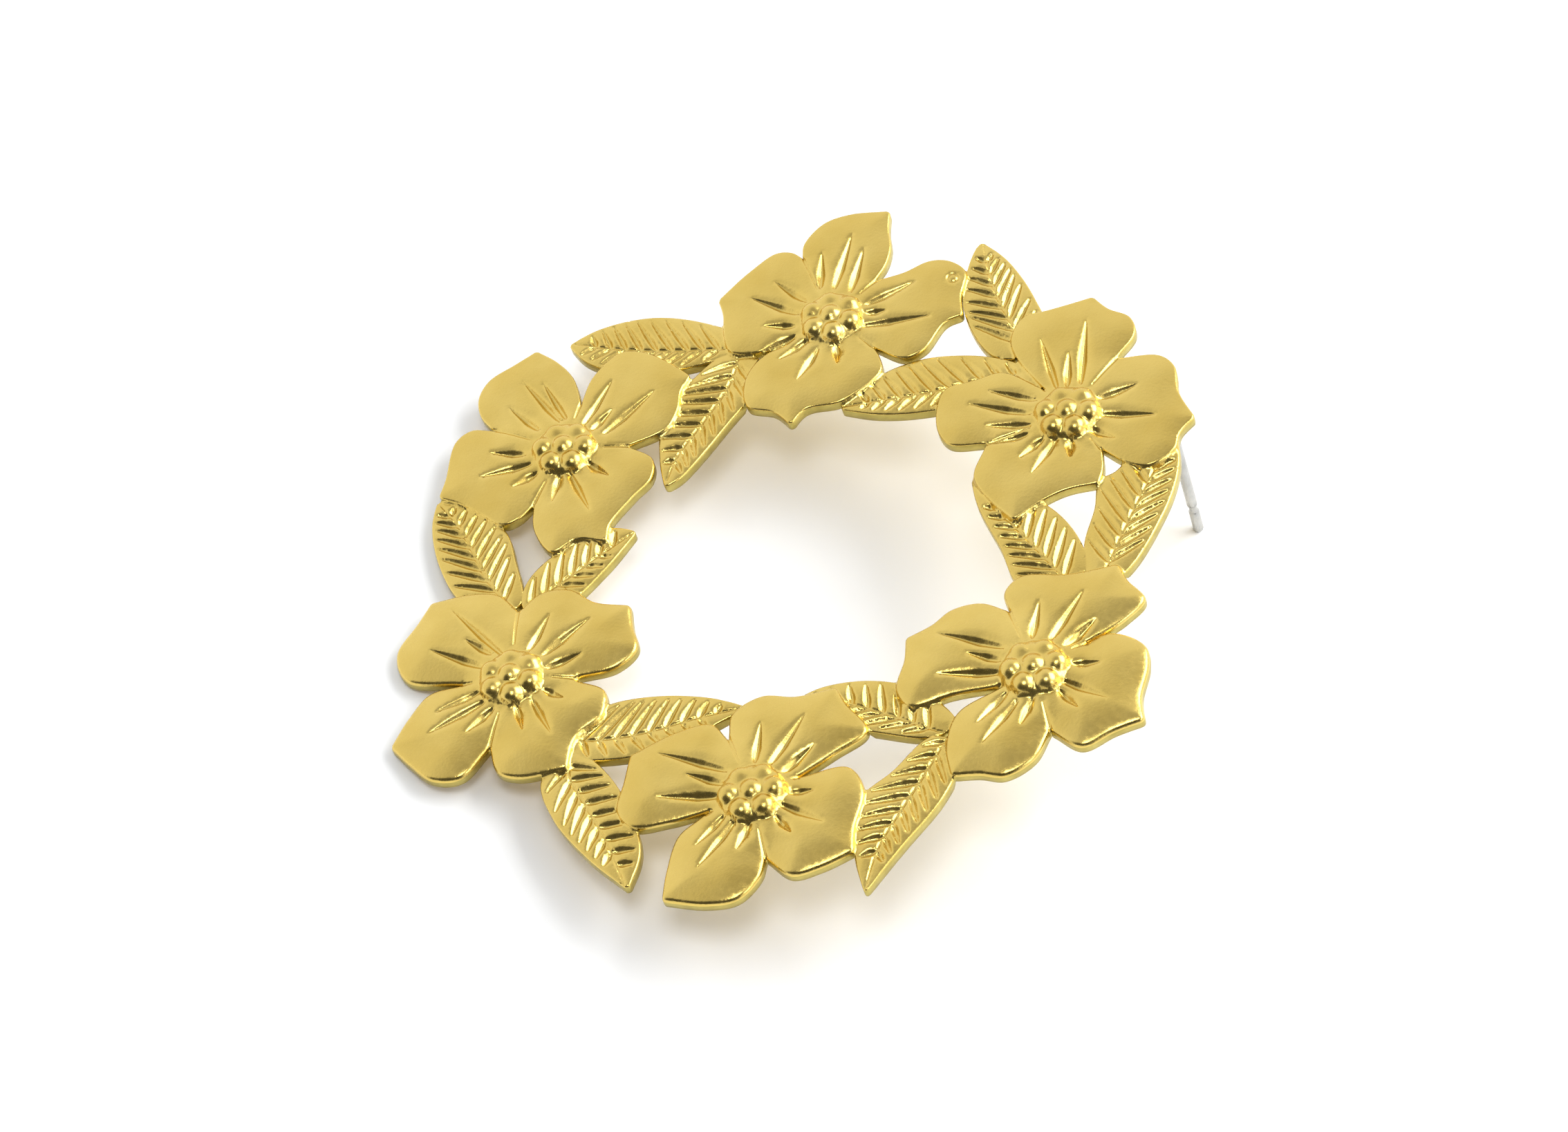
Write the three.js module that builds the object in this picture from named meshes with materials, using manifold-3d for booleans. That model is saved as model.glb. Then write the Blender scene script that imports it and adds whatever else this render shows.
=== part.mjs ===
// Floral wreath ear stud: a wreath of six flowers and twelve leaves pressed from one brass sheet,
// a steel ear post standing square to its back, and the solder that joins the two.
// The stud lies face up on a table, as it does when it is put down: on the tip of its post
// and on two points of the rim opposite.
import * as THREE from 'three';
import * as BufferGeometryUtils from 'three/addons/utils/BufferGeometryUtils.js';
import Module from 'manifold-3d';

// ---- Driving dimensions: millimetres and degrees -------------------------------------------
// The wreath's own frame has its middle at the origin, +Y towards the top flower, and +Z out
// of the front. Heights are measured from the top face of the petals.
const SHEET = 0.8; // thickness of the pressed sheet
const LEAF_STEP = 0.35; // the leaves lie this far below the petals
const HUB_RADIUS = 3.2; // flat middle of a flower, where its petals run together
const DOME_RADIUS = 2.15; // raised centre of a flower
const DOME_HEIGHT = 0.7;
const BEAD_RADIUS = 0.84; // round bumps on the dome
const BEAD_SINK = 0.4; // a bump's centre lies this far under the dome's surface
const BEAD_RING = 1.45; // distance of the outer bumps from the flower's axis
const BEAD_COUNT = 6; // outer bumps, round one more in the middle

const POST_RADIUS = 0.36; // 21 gauge ear wire, 0.72 mm across
const POST_LENGTH = 12.35; // from the back of the sheet to the tip
const POST_PLACE = [23.7, 11.4]; // under the outer petal of the upper right flower
const POST_TIP_CHAMFER = 0.16;
const GROOVE_FROM_TIP = 2.4; // middle of the groove that the ear nut snaps into
const GROOVE_WIDTH = 0.75;
const GROOVE_DEPTH = 0.05;
const SOLDER_RADIUS = 0.95; // foot of the solder fillet
const SOLDER_HEIGHT = 0.7;
const SOLDER_TOP = 0.06; // thickness of the fillet where it ends on the post
const CLEARANCE = 0.04; // gap between the sheet, the solder and the post

// How the stud lies: the wreath leans up towards its post, and is turned about the vertical.
const LEAN_ANGLE = 13.37;
const LEAN_DIRECTION = 7.57; // direction in the wreath that rises most, from its +X
const TURN_ANGLE = -7.62;

const ROUND_STEPS = 20; // sides of the round pieces
const ARC_STEPS = 4; // chords in a quarter arc
const CURVE_STEPS = 2; // chords between two outline points
const WELD = 1e-4; // corners closer than this are one corner

// ---- Outlines ------------------------------------------------------------------------------
// A petal's outline is a smooth curve from one notch to the next, closed through the flower's
// centre. beadTurn is the direction of a flower's first outer bump, in degrees. A leaf's outline
// is a closed smooth curve. A third value of 1 makes a sharp point.
const FLOWERS = [
  {
    centre: [-17.5, 10.1],
    beadTurn: 2,
    petals: [
      [[-23.2, 12.4], [-24.2, 13.6], [-24.6, 15.2], [-24.1, 16.7], [-22.5, 18], [-21.05, 19.2, 1],
        [-19.4, 18.1], [-18, 16.6], [-17.3, 15], [-17.05, 14.2]],
      [[-17.05, 14.2], [-16.6, 16.5], [-15, 18.6], [-13.4, 18.6], [-11.4, 17.6], [-9.5, 16.2, 1],
        [-10, 15], [-10, 13.2], [-10.6, 11.6], [-13, 10.3]],
      [[-22.9, 12.2], [-24.6, 12.3], [-25.6, 11.3], [-25.75, 8], [-25.95, 6.5, 1], [-24.2, 5.9],
        [-22.6, 4.9], [-20.8, 3.9], [-19.8, 4.4], [-19, 5.5]],
      [[-19, 5.5], [-18.6, 3.3], [-17, 1.4], [-15.4, 2.4], [-13.3, 2.1, 1], [-13.3, 3.6],
        [-12, 5.9], [-11, 7.4], [-11.2, 9.1], [-13, 10.2]],
    ],
  },
  {
    centre: [-0.1, 20.5],
    beadTurn: -18,
    petals: [
      [[-3, 26.3], [-3.05, 27.6], [-1.9, 29.4], [0, 30.15], [2.8, 30.25, 1], [2.9, 28.6],
        [3.25, 26.8], [3.1, 25.3], [2.5, 23.9]],
      [[-2.8, 26.2], [-3.8, 26.9], [-5, 26.9], [-6.6, 25.4], [-8.55, 22.9, 1], [-8.05, 21.6],
        [-7.7, 19.7], [-7, 18.2], [-5, 18], [-3.2, 18.7]],
      [[-3.2, 18.6], [-4.9, 17.3], [-5.6, 15.5], [-5.1, 13.2], [-3.2, 12.6], [-1.85, 11.4, 1],
        [-1, 12.7], [1.5, 13.3], [3.9, 15.8], [3.6, 17.1], [3.1, 17.9]],
      [[2.7, 23.9], [4.4, 24.5], [6.1, 25.4], [7.6, 25.3], [8.8, 24.3], [8.75, 22], [9.05, 20.35, 1],
        [7.9, 19.8], [6.7, 17.5], [5.4, 16.8], [3.1, 17.9]],
    ],
  },
  {
    centre: [17.2, 11.1],
    beadTurn: -5,
    petals: [
      [[15.3, 13.5], [13, 16.6], [12.6, 18.2], [13.3, 19.9], [15, 20.4], [17.9, 21.35, 1],
        [19.1, 20.2], [20.6, 19.4], [21.1, 17.9], [20.1, 16]],
      [[20.1, 15.8], [22.9, 15.9], [24, 14.9], [24.5, 12.6], [25.75, 10.4, 1], [24.9, 9.2],
        [24.6, 7.8], [23, 6.5], [21.4, 6.9], [19.7, 8.1]],
      [[19.8, 7.9], [20, 6.4], [19.8, 5.2, 1], [17.6, 4.7], [16, 3.8], [14.4, 2.4, 1], [12.6, 4.2],
        [11.3, 6.2], [11.8, 8.7], [14, 9.4]],
      [[11.9, 9], [9.4, 9.05], [8.4, 10.3], [8.15, 12.6], [8.6, 13.9], [10.4, 14.5], [12.3, 15.05],
        [15.2, 13.5]],
    ],
  },
  {
    centre: [17.1, -10],
    beadTurn: 10,
    petals: [
      [[14.8, -4.9], [14.35, -3.5], [15.3, -2.2], [18.4, -2.15], [21.7, -1.5, 1], [22.4, -2.8],
        [23.7, -4.4], [22.6, -6], [20, -8]],
      [[20, -7.9], [21.7, -7.05], [24, -8.1], [24.4, -9.6], [24.15, -12.2], [24.5, -14, 1],
        [22.6, -14.8], [20.6, -15.9], [18.6, -14.7]],
      [[18.5, -14.6], [17.7, -16.7], [15.9, -18], [14.2, -17.8], [12.4, -17.85, 1], [11.85, -15.6],
        [12.3, -13], [15, -11]],
      [[14.9, -5], [12.9, -4.25], [11, -4.7], [9.8, -5.9], [8.2, -6.9, 1], [8.3, -8.6], [8.05, -11],
        [9.2, -12.4], [11.8, -11.6], [14.5, -11.1]],
    ],
  },
  {
    centre: [-0.2, -19.1],
    beadTurn: 10,
    petals: [
      [[-2.6, -14.1], [-2.6, -12.5], [-0.8, -11.1], [1.6, -11.2], [4.1, -10.6, 1], [4.9, -11.9],
        [6.6, -14.1], [4.7, -15.9], [2.5, -17.6]],
      [[-2.6, -14.4], [-3.9, -13.2], [-6.4, -13.9], [-9, -15.5, 1], [-9.1, -17.6], [-9.2, -19.9],
        [-7.9, -21.2], [-5.6, -20.9], [-3, -20.1]],
      [[-3.4, -20.4], [-4.8, -21.9], [-5.2, -24.6], [-5.2, -26.8, 1], [-2.2, -27.2], [-0.2, -26.8],
        [1, -25.2], [1.2, -23.8]],
      [[1.2, -23.8], [3, -25.1], [4.8, -24.6], [6.9, -23.4, 1], [6.75, -21.6], [7, -18.8],
        [5.7, -16.9], [2.5, -17.6]],
    ],
  },
  {
    centre: [-17.9, -9.3],
    beadTurn: -18,
    petals: [
      [[-18.7, -3.3], [-20.2, -2], [-22.4, -1.9], [-24.85, -2.45, 1], [-25.5, -4.2], [-26.5, -6.7],
        [-25.4, -8.9], [-21.4, -9.4]],
      [[-18.4, -3.3], [-17.2, -2], [-15.3, -1.75], [-13.3, -2.9], [-10.8, -3.3, 1], [-10.4, -5],
        [-9.8, -6.9], [-11, -8.4], [-13.5, -9.1]],
      [[-21.4, -9.4], [-23.6, -10.1], [-24.7, -12], [-25.5, -14.3, 1], [-24, -15.7], [-22.2, -17],
        [-20.2, -16.9], [-18.65, -14.6]],
      [[-18.65, -14.6], [-17.8, -16.5], [-16.3, -17], [-13, -16.4, 1], [-12.8, -13.9],
        [-11.3, -12.2], [-11.5, -10.2], [-13.5, -9.35]],
    ],
  },
];

const LEAVES = [
  [[-19, 19.85, 1], [-16.8, 21.2], [-13.2, 21.95], [-9.6, 21.3], [-6.6, 19.8], [-7, 18.3],
    [-10.6, 17.1], [-14, 16.9], [-17.4, 18.2]],
  [[-10.1, 6.75, 1], [-10.8, 9.2], [-11.1, 13], [-9.4, 16.3], [-7.4, 18.2], [-4.6, 17.4],
    [-4.5, 15.6], [-6.4, 12], [-9, 7.6]],
  [[-26.15, 6.5, 1], [-26.1, 4.2], [-25, 0.9], [-23, -2.1], [-20.4, -3.6], [-18.6, -2.6],
    [-19.6, 1.1], [-20.8, 3.7], [-23.6, 5.8]],
  [[-11.4, 3.2, 1], [-13.4, 3.5], [-17, 1.4], [-18.6, -1.2], [-18.2, -3.3], [-15.6, -2.9],
    [-13.2, -0.1]],
  [[9.55, 27.25, 1], [11.6, 25.3], [13.7, 22], [14.8, 19], [13.6, 16.6], [11.5, 16.8], [9.3, 20],
    [8.7, 23.2], [9.1, 26.4]],
  [[1.2, 12.9, 1], [4.2, 12.2], [8.5, 12.4], [14.2, 13.5], [15.4, 13.9], [14.4, 15.4], [11.4, 16.75],
    [7.6, 17.05], [4.4, 16.1], [2.2, 14.2]],
  [[11, 6.4, 1], [11.7, 4.1], [13.6, 0.5], [15.3, -2.8], [18.2, -3.6], [19.6, -1.6], [18.8, 1],
    [16.6, 3.7], [13, 5.6]],
  [[24.6, 9.5, 1], [24.95, 6.4], [24.2, 2.5], [21.9, -2.3], [20, -2.9], [19.2, 0.3], [19.6, 3.4],
    [19.7, 5.7], [20.7, 6.4], [21.8, 7.8]],
  [[0.8, -11.6, 1], [3.2, -10.3], [6.2, -9.95], [9.6, -10.8], [12.3, -13.6], [10.6, -14.6],
    [6.7, -14], [3, -13.1]],
  [[7.8, -26.4, 1], [6.8, -23.4], [6.5, -19.4], [8.5, -17.1], [10.8, -14.5], [12.9, -15.4],
    [12.2, -19], [10, -22.7]],
  [[-1.6, -11.7, 1], [-4.4, -10.85], [-7.6, -10.6], [-11, -11.1], [-13.3, -12.8], [-12.8, -15.2],
    [-9.4, -15.5], [-5.4, -14.1]],
  [[-7.6, -25.7, 1], [-10.6, -23.3], [-13.5, -20.1], [-14.8, -17.1], [-13.4, -14.7],
    [-11.6, -15.5], [-9, -18.5], [-7.2, -22.8]],
];

const wasm = await Module();
wasm.setup();

// ---- Materials -----------------------------------------------------------------------------
const brass = new THREE.MeshStandardMaterial({ color: 0xd6bc63, roughness: 0.3, metalness: 1 });
const steel = new THREE.MeshStandardMaterial({ color: 0xc9cbc9, roughness: 0.32, metalness: 1 });
const solder = new THREE.MeshStandardMaterial({ color: 0xa9aaa6, roughness: 0.5, metalness: 1 });

// ---- Helpers -------------------------------------------------------------------------------
// A smooth run of points, with the chords of a curve between each two
function smoothRun(points) {
  const spots = points.map(([x, y]) => new THREE.Vector3(x, y, 0));
  const curve = new THREE.CatmullRomCurve3(spots, false, 'centripetal');
  const chords = CURVE_STEPS * (points.length - 1);
  return curve.getPoints(chords).map((p) => new THREE.Vector2(p.x, p.y));
}

// An outline whose points are smooth except the sharp ones, where one smooth run ends
function outline(points) {
  const runs = [[]];
  for (const point of points) {
    runs.at(-1).push(point);
    if (point[2] === 1) runs.push([point]);
  }
  return runs.filter((run) => run.length > 1).flatMap((run, index) => {
    const curve = smoothRun(run);
    return index === 0 ? curve : curve.slice(1);
  });
}

function petalOutline(centre, points) {
  return [new THREE.Vector2(...centre), ...outline(points)];
}

function leafOutline(points) {
  return outline([...points, points[0]]).slice(0, -1);
}

function toSolid(geometry) {
  const bare = geometry.clone();
  bare.deleteAttribute('normal');
  bare.deleteAttribute('uv');
  const merged = BufferGeometryUtils.mergeVertices(bare, WELD);
  return new wasm.Manifold(new wasm.Mesh({
    numProp: 3,
    vertProperties: new Float32Array(merged.attributes.position.array),
    triVerts: new Uint32Array(merged.index.array),
  }));
}

function toGeometry(solid) {
  const mesh = solid.getMesh();
  const geometry = new THREE.BufferGeometry();
  geometry.setAttribute('position', new THREE.BufferAttribute(mesh.vertProperties, 3));
  geometry.setIndex(new THREE.BufferAttribute(mesh.triVerts, 1));
  geometry.computeVertexNormals();
  return geometry;
}

// A plate of the sheet's thickness whose top face lies at the given height
function plate(points, top) {
  const shape = new THREE.Shape(points);
  const geometry = new THREE.ExtrudeGeometry(shape, { depth: SHEET, bevelEnabled: false });
  return toSolid(geometry.translate(0, 0, top - SHEET));
}

// A round piece about +Z from its half section, which starts and ends on the axis
function turned(section) {
  const points = section.map(([radius, height]) => new THREE.Vector2(radius, height));
  return new THREE.LatheGeometry(points, ROUND_STEPS).rotateX(Math.PI / 2);
}

// ---- The pressed wreath --------------------------------------------------------------------
function flowerCentre([x, y], beadTurn) {
  const hub = turned([[0, -SHEET], [HUB_RADIUS, -SHEET], [HUB_RADIUS, 0], [0, 0]]);
  const arc = [];
  for (let step = 0; step < ARC_STEPS; step += 1) {
    const angle = (step / ARC_STEPS) * (Math.PI / 2);
    arc.push([DOME_RADIUS * Math.cos(angle), DOME_HEIGHT * Math.sin(angle)]);
  }
  arc.push([0, DOME_HEIGHT]);
  const dome = turned([[0, -SHEET / 2], [DOME_RADIUS, -SHEET / 2], ...arc]);
  let solid = toSolid(hub.translate(x, y, 0)).add(toSolid(dome.translate(x, y, 0)));
  for (let index = 0; index <= BEAD_COUNT; index += 1) {
    const bead = new THREE.IcosahedronGeometry(BEAD_RADIUS, 1);
    const angle = (index / BEAD_COUNT) * Math.PI * 2 + THREE.MathUtils.degToRad(beadTurn);
    const ring = index === BEAD_COUNT ? 0 : BEAD_RING;
    const surface = DOME_HEIGHT * Math.sqrt(1 - (ring / DOME_RADIUS) ** 2);
    const height = surface - BEAD_SINK;
    bead.translate(x + ring * Math.cos(angle), y + ring * Math.sin(angle), height);
    solid = solid.add(toSolid(bead));
  }
  return solid;
}

function wreathSolid() {
  const plates = LEAVES.map((points) => plate(leafOutline(points), -LEAF_STEP));
  for (const { centre, beadTurn, petals } of FLOWERS) {
    plates.push(...petals.map((points) => plate(petalOutline(centre, points), 0)));
    plates.push(flowerCentre(centre, beadTurn));
  }
  return plates.reduce((whole, piece) => whole.add(piece));
}

// ---- The ear post and its solder -----------------------------------------------------------
const root = -SHEET - CLEARANCE; // the post starts just under the sheet
const tip = -SHEET - POST_LENGTH;

function earPost() {
  const neck = POST_RADIUS - GROOVE_DEPTH;
  const grooveLow = tip + GROOVE_FROM_TIP - GROOVE_WIDTH / 2;
  const grooveHigh = grooveLow + GROOVE_WIDTH;
  return turned([
    [0, tip],
    [POST_RADIUS - POST_TIP_CHAMFER, tip],
    [POST_RADIUS, tip + POST_TIP_CHAMFER],
    [POST_RADIUS, grooveLow - GROOVE_DEPTH],
    [neck, grooveLow],
    [neck, grooveHigh],
    [POST_RADIUS, grooveHigh + GROOVE_DEPTH],
    [POST_RADIUS, root],
    [0, root],
  ]);
}

// The fillet is a ring round the post's root, hollow in section like a drop drawn up a wire
function solderFillet() {
  const bore = POST_RADIUS + CLEARANCE;
  const section = [[bore, root]];
  for (let step = 0; step <= ARC_STEPS; step += 1) {
    const angle = (step / ARC_STEPS) * (Math.PI / 2);
    const reach = (SOLDER_RADIUS - bore - SOLDER_TOP) * (1 - Math.sin(angle));
    section.push([bore + SOLDER_TOP + reach, root - SOLDER_HEIGHT * (1 - Math.cos(angle))]);
  }
  section.push([bore, root - SOLDER_HEIGHT], [bore, root]);
  return turned(section.reverse());
}

// ---- Assembly ------------------------------------------------------------------------------
function named(name, geometry, material) {
  const mesh = new THREE.Mesh(geometry, material);
  mesh.name = name;
  return mesh;
}

// Puts the wreath's frame on the table: first the lean, then the turn
function lyingPose() {
  const lean = THREE.MathUtils.degToRad(LEAN_ANGLE);
  const raised = THREE.MathUtils.degToRad(LEAN_DIRECTION);
  const leanAxis = new THREE.Vector3(-Math.sin(raised), Math.cos(raised), 0);
  const leaned = new THREE.Quaternion().setFromAxisAngle(leanAxis, -lean);
  const vertical = new THREE.Vector3(0, 0, 1);
  const turn = THREE.MathUtils.degToRad(TURN_ANGLE);
  return new THREE.Quaternion().setFromAxisAngle(vertical, turn).multiply(leaned);
}

const stud = new THREE.Group();
const wreath = named('wreath', toGeometry(wreathSolid()), brass);
const post = named('ear_post', earPost(), steel);
const fillet = named('solder_fillet', solderFillet(), solder);
post.position.set(...POST_PLACE, 0);
fillet.position.set(...POST_PLACE, 0);
stud.add(wreath, post, fillet);
stud.quaternion.copy(lyingPose());

// The origin is under the middle of the whole stud, on the table
const table = new THREE.Group();
table.add(stud);
table.updateMatrixWorld(true);
const bounds = new THREE.Box3().setFromObject(table, true);
const middle = bounds.getCenter(new THREE.Vector3());
stud.position.set(-middle.x, -middle.y, -bounds.min.z);

export default table;
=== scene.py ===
"""Looks for the floral wreath ear stud: the pressed brass wreath with its relief, the ear post
and the solder, on a pale table in soft studio light. Layout is in millimetres in the wreath's
own frame, as in the CAD source. Each piece is then turned into the row's frame in metres."""
import math

import bpy
import numpy as np
from mathutils import Matrix, Vector, kdtree
from mathutils.geometry import delaunay_2d_cdt


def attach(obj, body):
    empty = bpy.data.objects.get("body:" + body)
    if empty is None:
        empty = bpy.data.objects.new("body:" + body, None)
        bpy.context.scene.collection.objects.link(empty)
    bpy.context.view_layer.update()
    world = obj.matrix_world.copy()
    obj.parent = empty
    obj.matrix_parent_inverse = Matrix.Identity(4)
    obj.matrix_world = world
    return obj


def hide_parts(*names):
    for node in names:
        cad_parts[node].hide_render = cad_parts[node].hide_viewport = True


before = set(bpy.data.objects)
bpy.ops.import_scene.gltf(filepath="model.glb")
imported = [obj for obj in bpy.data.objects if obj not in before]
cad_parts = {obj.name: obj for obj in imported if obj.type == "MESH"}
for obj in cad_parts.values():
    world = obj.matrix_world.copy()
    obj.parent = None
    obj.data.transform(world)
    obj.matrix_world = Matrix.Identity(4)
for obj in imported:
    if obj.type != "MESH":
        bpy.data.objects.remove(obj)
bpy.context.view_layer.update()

MM = 0.001

# ---- Camera: above and in front of the stud, level from side to side --------------------------
CAMERA_PLACE = (-0.001365, -0.200359, 0.254280)
CAMERA_TILT = 38.74  # degrees from straight down
CAMERA_LENS = 111.11
SENSOR_WIDTH = 36
CLIP_START = 0.01

camera_data = bpy.data.cameras.new("camera")
camera_data.lens = CAMERA_LENS
camera_data.sensor_width = SENSOR_WIDTH
camera_data.clip_start = CLIP_START
camera = bpy.data.objects.new("camera", camera_data)
camera.location = CAMERA_PLACE
camera.rotation_euler = (math.radians(CAMERA_TILT), 0, 0)
bpy.context.scene.collection.objects.link(camera)
bpy.context.scene.camera = camera


# ---- Driving dimensions, in millimetres and degrees ------------------------------------------
# They are the CAD's, except where a comment gives the CAD's value.
SHEET = 0.8  # thickness
LEAF_STEP = 0.35  # how far the leaves lie below the flowers
DOME_RADIUS = 2.15
DOME_HEIGHT = 0.62  # 0.7 in the CAD
BEAD_RADIUS = 0.84  # of the round bumps on a dome
BEAD_SINK = 0.44  # their centres' depth under the dome's surface; 0.4 in the CAD
BEAD_RING = 1.45
BEAD_COUNT = 6  # round the one in the middle
POST_RADIUS = 0.36
POST_LENGTH = 12.35
POST_PLACE = (23.7, 11.4)
NUT_GROOVE_FROM_TIP = 2.4
NUT_GROOVE_WIDTH = 0.75
NUT_GROOVE_DEPTH = 0.08  # 0.05 in the CAD
SOLDER_RADIUS = 0.95
SOLDER_HEIGHT = 0.7

# How the stud lies on the table
LEAN_ANGLE = 13.37
LEAN_DIRECTION = 7.57
TURN_ANGLE = -7.62
WREATH_MIDDLE = Vector((-0.6205, -1.3413, 7.0596))

# ---- Relief of the pressing, which the CAD doesn't have --------------------------------------
# The first values are for the three flowers at +Y, the second for the three at -Y.
CROWN = (0.17, 0.42)  # how far petals stand above their rims
CROWN_WIDTH = (1.9, 2.7)  # over this distance from the rims
RIM_ROUND = (0.11, 0.24)  # radius of the petals' rounded rims

BEAD_FILLET = 0.22  # bumps merge where their heights come closer than this
BEAD_FADE = 0.24  # the bumps towards +Y are pressed this much less high
DOME_LIFT = -0.05  # of a dome's foot from the crown of the petals
DOME_FALL = 3  # slope that takes the dome's surface below the petals round it

LEAF_RIM = 0.09
LEAF_CROWN = 0.14
LEAF_CROWN_WIDTH = 1.1
STEP_RUN = 0.13  # width of the slope from a petal's rim down to a leaf
STEP_EXTRA = 0.06  # the slope ends this far below the leaf
STEP_REACH = 0.4  # a shape's slope is looked for this far outside it
BACK_ROUND = 0.07
RIPPLE = 0.012  # unevenness of the whole sheet
NOWHERE = -9  # height where a shape has no material

# Half width and depth of each kind of groove
PETAL_GROOVE = (0.35, 0.28)
PETAL_DIP = (0.95, 0.13)  # the wide hollow round each petal groove
SEAM = (0.2, 0.13)
RIB = (0.2, 0.14)
RIB_DIP = (0.9, 0.1)
VEIN = (0.36, 0.29)
RING_MARK = (0.16, 0.09)

SEAM_END = 2.6  # seams between petals stop this far from the flower's centre
VEIN_PITCH = 1.12  # distance between leaf veins along the rib
FIRST_VEIN = 1.5  # pitches from the rib's tip to the first veins
RIB_AHEAD = 0.5  # the rib's direction is taken over this length
VEIN_START = 0.12  # from the middle of the rib
VEIN_SHORTEST = 0.7
VEIN_SEARCH = (0.3, 5, 0.1)  # start, end and step of the search for the leaf's edge
VEIN_EDGE = 0.28  # veins stop this far from the leaf's edge
RING_RADIUS = 0.36  # of the small round mark struck into one petal
RING_SIDES = 16

BLUNT_TURN = 28.0  # outward corners of an outline that turn more than this are blunted
BLUNT_ROUNDS = 12
SHORTEST_EDGE = 0.03
ON_EDGE = 1e-3  # points this little outside an outline count as on it
CHUNK = 4000  # points measured at once, to spare memory

# Spacing of the mesh points
OUTLINE_PITCH = 0.2
FLAT_PITCH = 0.25
FINE_PITCH = 0.15
DOME_PITCH = 0.13
BACK_PITCH = 0.45
RIM_ROWS = (0.06, 0.13, 0.22)
RIM_GAP = 0.05  # rows of points stay this far from the outlines
OUTER_GAP = 0.04  # and this far inside the wreath's outer edge
LATTICE_GAP = 0.12  # a lattice stays this far inside the outlines
DOME_MARGIN = 0.3  # the fine points of a dome reach this far beyond it
COVERED = 0.01  # leaf points this close to a flower, or under it, are left out
GROOVE_ROWS = (-1, -0.67, -0.33, 0, 0.33, 0.67, 1)  # across a groove, in half widths
GROOVE_PITCH = 0.2  # along a groove
CLOSEST = 0.6  # points of a lattice are no closer than this share of its pitch
UNDER_FLOWER = 0.3  # margin in the search for the leaves' covered points

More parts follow.
